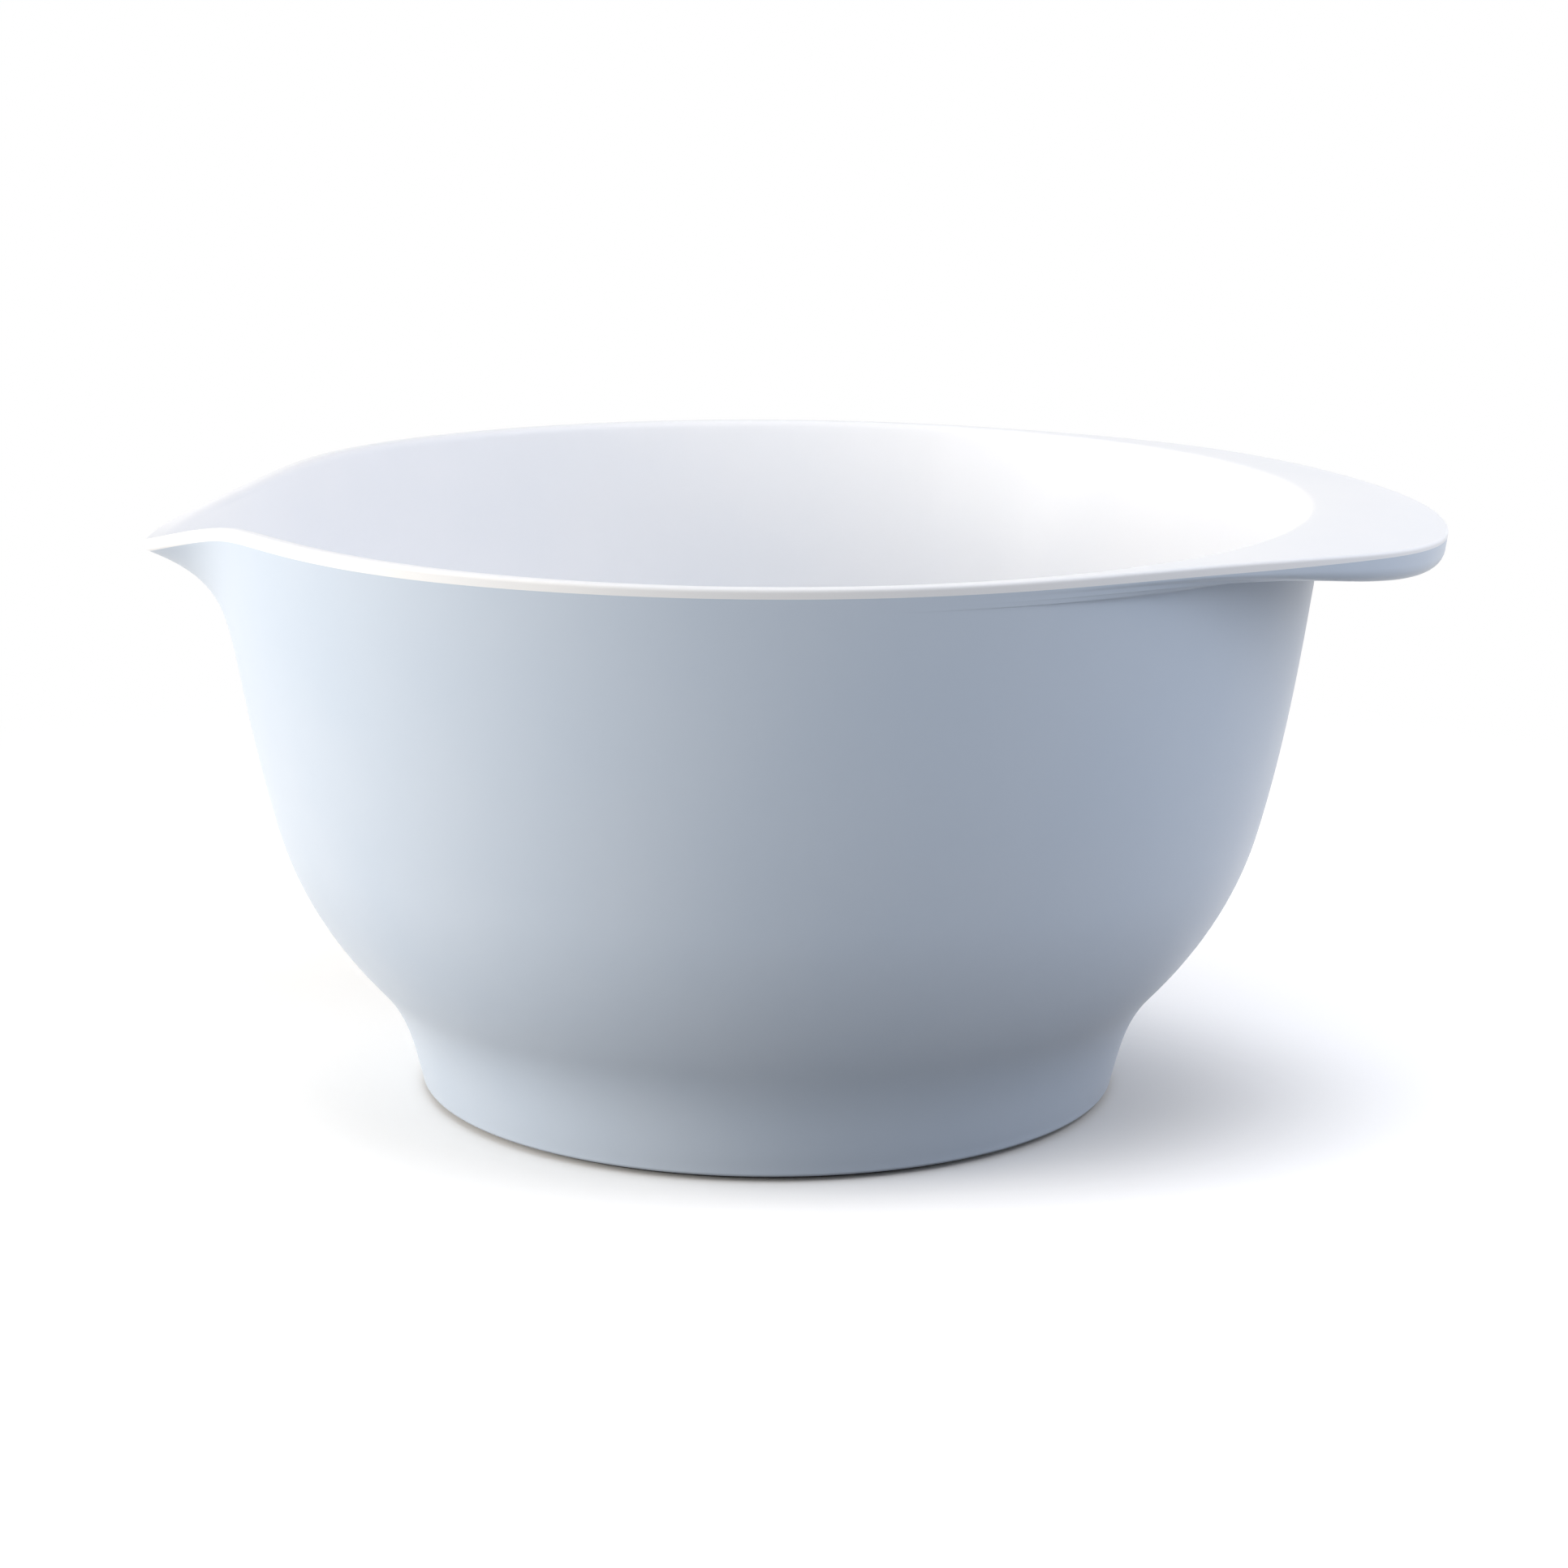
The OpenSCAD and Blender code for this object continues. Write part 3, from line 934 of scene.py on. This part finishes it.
@dataclass(frozen=True)
class OuterMoulding:
    """Pale blue outer moulding: foot, wall, underside of the spout and turned edge of the grip."""

    bowl: Bowl
    mesher: Mesher
    finish: Melamine = Melamine("pale_blue_melamine", (193, 205, 221), (190, 203, 220))

    def base_outline(self) -> Outline:
        """Lists the outline under the bowl, from the axis to the foot's outer bottom edge.

        Returns:
            The recess, the foot, the ring's groove and the foot's outer round.
        """
        foot, steps, flat = self.bowl.foot, self.mesher.round_rows, self.mesher.flat_rows
        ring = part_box("non_slip_ring")[1]
        groove_in = self.ring_inner_r() - foot.ring_clear
        groove_out = ring.x + foot.ring_clear
        fine = foot.fine_round
        fillet = (foot.inner_r - foot.recess_round, foot.recess - foot.recess_round)
        outline = [(foot.inner_r * k / flat, foot.recess) for k in range(flat)]
        outline += arc(fillet, foot.recess_round, 90, 0, steps)
        outline += arc((foot.inner_r + fine, foot.gap + fine), fine, 180, 270, steps)
        outline += arc((groove_in - fine, foot.gap + fine), fine, 270, 360, steps)
        outline += [(groove_in, ring.z), (groove_out, ring.z)]
        outline += arc((groove_out + fine, foot.gap + fine), fine, 180, 270, steps)
        outline += arc((foot.radius - foot.round, foot.side_h), foot.round, 270, 360, steps)[:-1]
        return outline

    def ring_inner_r(self) -> float:
        """Returns the ring's inner radius, measured on its CAD node."""
        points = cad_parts["non_slip_ring"].data.vertices
        return min(math.hypot(v.co.x, v.co.y) for v in points)

    def rows(self) -> list[Row]:
        """Lists the moulding's rows, from the middle of its underside to the middle of its floor.

        Returns:
            The rows.
        """
        bowl, mesher = self.bowl, self.mesher
        rows = [partial(place, radius=r, height=z) for r, z in self.base_outline()]
        foot_heights = [mix(bowl.foot.side_h, bowl.waist.height, k / mesher.foot_rows)
                        for k in range(mesher.foot_rows)]
        rows += [partial(bowl.skin, height=h) for h in foot_heights + mesher.wall_heights(bowl)]
        path = bowl.grip.edge_path()
        rows += [partial(bowl.edge, inset=inset, depth=depth, along=k / (len(path) + 1))
                 for k, (inset, depth) in reversed(list(enumerate(path, 1)))]
        return rows + mesher.bond(bowl)

    def build(self) -> bpy.types.Object:
        """Builds and dresses the moulding.

        Returns:
            The piece.
        """
        piece = self.mesher.turn_rows("outer_moulding", self.rows())
        dress(piece, self.finish, "outer_shell")
        return piece


@dataclass(frozen=True)
class InnerMoulding:
    """White inner moulding: the bowl's inside, its rim, the channel of the spout and top of the grip."""

    bowl: Bowl
    mesher: Mesher
    finish: Melamine = Melamine("white_melamine", (234, 236, 240), (231, 234, 239), gloss_level=0.12)

    def rows(self) -> list[Row]:
        """Lists the moulding's rows, from the middle of the inside floor to the bond below it.

        Returns:
            The rows.
        """
        bowl, mesher = self.bowl, self.mesher
        rows = [partial(place, radius=bowl.floor_r * k / mesher.flat_rows, height=bowl.floor_h)
                for k in range(mesher.flat_rows)]
        rows += [partial(bowl.bottom, share=1, level=bowl.floor_h, along=k / mesher.floor_rows)
                 for k in range(mesher.floor_rows, 0, -1)]
        rows += [partial(bowl.behind, height=h, share=1) for h in mesher.wall_heights(bowl)]
        shares = [k / mesher.round_rows for k in range(mesher.round_rows + 1)]
        rows += [bowl.inner_last] + [partial(bowl.inner_round, share=s) for s in shares]
        rows += [partial(bowl.top, share=k / mesher.plate_rows) for k in range(1, mesher.plate_rows)]
        rows += [partial(bowl.outer_round, share=s) for s in shares]
        rows += [partial(bowl.band, share=k / mesher.band_rows) for k in range(1, mesher.band_rows)]
        return rows + mesher.bond(bowl)

    def build(self) -> bpy.types.Object:
        """Builds and dresses the moulding.

        Returns:
            The piece.
        """
        piece = self.mesher.turn_rows("inner_moulding", self.rows())
        dress(piece, self.finish, "inner_shell")
        return piece


@dataclass(frozen=True)
class NonSlipRing:
    """Rubber ring let into the foot, with two fine grooves in the face that the bowl stands on."""

    mesher: Mesher
    inner_r: float
    edge_round: float = 0.8 * MM
    groove_w: float = 0.6 * MM
    groove_depth: float = 0.3 * MM
    groove_shares: tuple[float, float] = (0.32, 0.68)
    finish: SoftRubber = SoftRubber("ring_rubber", (88, 92, 98), (98, 101, 106))

    def outline(self) -> Outline:
        """Lists the ring's closed outline.

        Returns:
            The outline from its top outer corner, in over the top, down, and out along the table.
        """
        low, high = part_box("non_slip_ring")
        outer_r, steps, r = high.x, self.mesher.round_rows, self.edge_round
        half = self.groove_w / 2
        outline = [(outer_r, high.z), (self.inner_r, high.z)]
        outline += arc((self.inner_r + r, low.z + r), r, 180, 270, steps)
        for share in self.groove_shares:
            middle = mix(self.inner_r, outer_r, share)
            groove = arc((middle, low.z), half, 180, 0, steps)
            outline += [(radius, height * self.groove_depth / half) for radius, height in groove]
        outline += arc((outer_r - r, low.z + r), r, 270, 360, steps)
        return outline + outline[:1]

    def build(self) -> bpy.types.Object:
        """Builds and dresses the ring.

        Returns:
            The piece.
        """
        piece = self.mesher.spin("foot_ring", self.outline())
        piece.data.attributes.remove(piece.data.attributes["row"])
        self.mesher.close(piece)
        dress(piece, self.finish, "non_slip_ring")
        return piece


@dataclass(frozen=True)
class Lamp:
    """A soft box that looks at the bowl from a side, in degrees from the grip, and a lift above it.

    Its distance, width and height are in metres, and its power is in watts.
    """

    name: str
    side: float
    lift: float
    distance: float
    width: float
    height: float
    power: float
    colour: tuple[float, float, float]
    aim: tuple[float, float, float] = (0.0, 0.0, 0.07)

    def build(self) -> bpy.types.Object:
        """Makes the lamp.

        Returns:
            The lamp.
        """
        side, lift = math.radians(self.side), math.radians(self.lift)
        way = Vector((math.cos(side) * math.cos(lift), math.sin(side) * math.cos(lift), math.sin(lift)))
        bpy.ops.object.light_add(type="AREA", location=Vector(self.aim) + self.distance * way)
        lamp = bpy.context.object
        lamp.name = lamp.data.name = self.name
        lamp.data.shape = "RECTANGLE"
        lamp.data.size = self.width
        lamp.data.size_y = self.height
        lamp.data.energy = self.power
        lamp.data.color = self.colour
        lamp.rotation_euler = (-way).to_track_quat("-Z", "Y").to_euler()
        return lamp


@dataclass(frozen=True)
class Camera:
    """The photograph's viewpoint, fitted to the rim, the foot and both sides of the bowl."""

    place: tuple[float, float, float] = (3.5 * MM, -837 * MM, 261.1 * MM)
    pitch: float = 13.02
    roll: float = 0.336
    focal_px: float = 4709
    frame_px: float = 1932
    sensor: float = 36

    def build(self) -> bpy.types.Object:
        """Makes the scene's camera.

        Returns:
            The camera.
        """
        bpy.ops.object.camera_add()
        camera = bpy.context.object
        camera.name = "camera"
        camera.data.sensor_width = self.sensor
        camera.data.lens = self.focal_px / self.frame_px * self.sensor
        down = Matrix.Rotation(math.radians(90 - self.pitch), 4, "X")
        roll = Matrix.Rotation(math.radians(self.roll), 4, "Z")
        camera.matrix_world = Matrix.Translation(self.place) @ down @ roll
        bpy.context.scene.camera = camera
        return camera


@dataclass(frozen=True)
class Studio:
    """Pale floor, plain surroundings and soft lamps.

    The floor has one paleness where it is seen and another for the light that it throws back. Both
    start lower in an oval about a point under the bowl and its shadow, and rise between two distances
    from it. The lower seen paleness is a painted shadow on the floor, and the lower light thrown back is
    painted shade on the foot. From lift_from to lift_to metres, the floor fades to plain white.
    """

    floor_size: float = 40
    # Paleness seen and light thrown back near the bowl are lowered: a painted shadow on the floor and
    # painted shade on the foot
    seen_in_painted_shadow: float = 0.55
    seen_far: float = 1.2
    bounce_in_painted_shade: float = 0.0
    bounce_far: float = 0.32
    painted_shadow_centre: tuple[float, float] = (0.021, -0.019)
    painted_shadow_stretch: float = 1.5
    painted_shadow_fade_from: float = 0.014
    painted_shadow_fade_to: float = 0.098
    lift_from: float = 0.13
    lift_to: float = 0.45
    sky: float = 0.3
    sky_colour: tuple[float, float, float] = (0.95, 0.96, 1.0)
    camera: Camera = Camera()
    lamps: tuple[Lamp, ...] = (
        Lamp("left_low_box", 180, 11, 1.1, 1.1, 0.45, 8.4, (1.0, 0.93, 0.84)),
        Lamp("left_front_box", 209, 25, 1.1, 0.9, 0.8, 3.1, (1.0, 0.95, 0.87)),
        Lamp("left_front_low_box", 206, 11, 1.1, 0.9, 0.45, 4.9, (1.0, 0.94, 0.84)),
        Lamp("back_high_box", 90, 58, 1.3, 1.2, 0.8, 2.1, (1.0, 0.99, 0.98)),
        Lamp("right_high_box", 0, 60, 1.2, 0.9, 0.8, 2.9, (1.0, 0.96, 0.93)),
        Lamp("right_box", 0, 22, 1.1, 0.9, 0.8, 2.9, (0.94, 0.93, 1.0)),
        Lamp("right_front_box", 326, 35, 1.2, 0.9, 0.8, 3.4, (0.87, 0.93, 1.0)),
        Lamp("front_right_high_box", 315, 58, 1.3, 1.0, 0.8, 2.6, (0.99, 0.97, 1.0)),
    )

    def floor(self) -> bpy.types.Object:
        """Makes the floor, which shows white, keeps the bowl's shadow and has a painted shadow round the
        bowl.

        To an eye below it, the floor is clear.

        Returns:
            The floor.
        """
        bpy.ops.mesh.primitive_plane_add(size=self.floor_size, location=(0, 0, 0))
        floor = bpy.context.object
        floor.name = floor.data.name = "floor"
        material = bpy.data.materials.new("floor_paper")
        nodes = start_nodes(material)
        seen = nodes.seen()
        where = nodes.add("ShaderNodeTexCoord").outputs["Object"]
        glow = nodes.fade(where, self.lift_from, self.lift_to)
        # Painted shadow and painted shade: an oval under the bowl and its shadow where the floor is seen
        # darker and throws back less light onto the foot
        x, y = self.painted_shadow_centre
        oval = nodes.add("ShaderNodeMapping", Vector=where, Location=(-x / self.painted_shadow_stretch, -y, 0),
                         Scale=(1 / self.painted_shadow_stretch, 1, 1)).outputs["Vector"]
        away = nodes.fade(oval, self.painted_shadow_fade_from, self.painted_shadow_fade_to)
        # The painted shadow darkens the seen floor, and the painted shade lowers the light thrown back onto
        # the foot
        pale = nodes.ramp(away, self.seen_in_painted_shadow, self.seen_far)
        bounce = nodes.ramp(away, self.bounce_in_painted_shade, self.bounce_far)
        white = nodes.ramp(seen, bounce, pale)
        paper = nodes.add("ShaderNodeBsdfDiffuse", Color=white).outputs["BSDF"]
        shine = nodes.add("ShaderNodeEmission", Color=(1, 1, 1, 1), Strength=1).outputs["Emission"]
        far = nodes.maths("MULTIPLY", seen, glow)
        below = nodes.add("ShaderNodeNewGeometry").outputs["Backfacing"]
        clear = nodes.add("ShaderNodeBsdfTransparent").outputs["BSDF"]
        surface = nodes.choose(below, nodes.choose(far, paper, shine), clear)
        nodes.add("ShaderNodeOutputMaterial", Surface=surface)
        floor.data.materials.append(material)
        return floor

    def world(self) -> None:
        """Makes plain surroundings that are white where they are seen and softer where they light."""
        world = bpy.data.worlds.new("surroundings")
        nodes = start_nodes(world)
        lights = nodes.add("ShaderNodeBackground", Color=(*self.sky_colour, 1), Strength=self.sky)
        shows = nodes.add("ShaderNodeBackground", Color=(1, 1, 1, 1), Strength=1)
        choice = nodes.choose(nodes.seen(), lights.outputs["Background"], shows.outputs["Background"])
        nodes.add("ShaderNodeOutputWorld", Surface=choice)
        bpy.context.scene.world = world

    def build(self) -> None:
        """Sets up the floor, the surroundings, the lamps and the camera."""
        self.floor()
        self.world()
        for lamp in self.lamps:
            lamp.build()
        self.camera.build()
        bpy.context.scene.view_settings.view_transform = "Standard"


def report(piece: bpy.types.Object) -> None:
    """Logs a piece's name, its number of faces and its size in millimetres."""
    size = " x ".join(f"{side / MM:.1f}" for side in piece.dimensions)
    LOG.info("%s: %d faces, %s mm", piece.name, len(piece.data.polygons), size)


def main() -> None:
    """Builds the studio and the bowl's three pieces in order."""
    logging.basicConfig(level=logging.INFO, format="%(name)s: %(message)s")
    Studio().build()
    bowl, mesher = Bowl(), Mesher()
    outer = OuterMoulding(bowl, mesher)
    report(outer.build())
    report(InnerMoulding(bowl, mesher).build())
    report(NonSlipRing(mesher, outer.ring_inner_r()).build())


if __name__ == "__main__":
    main()
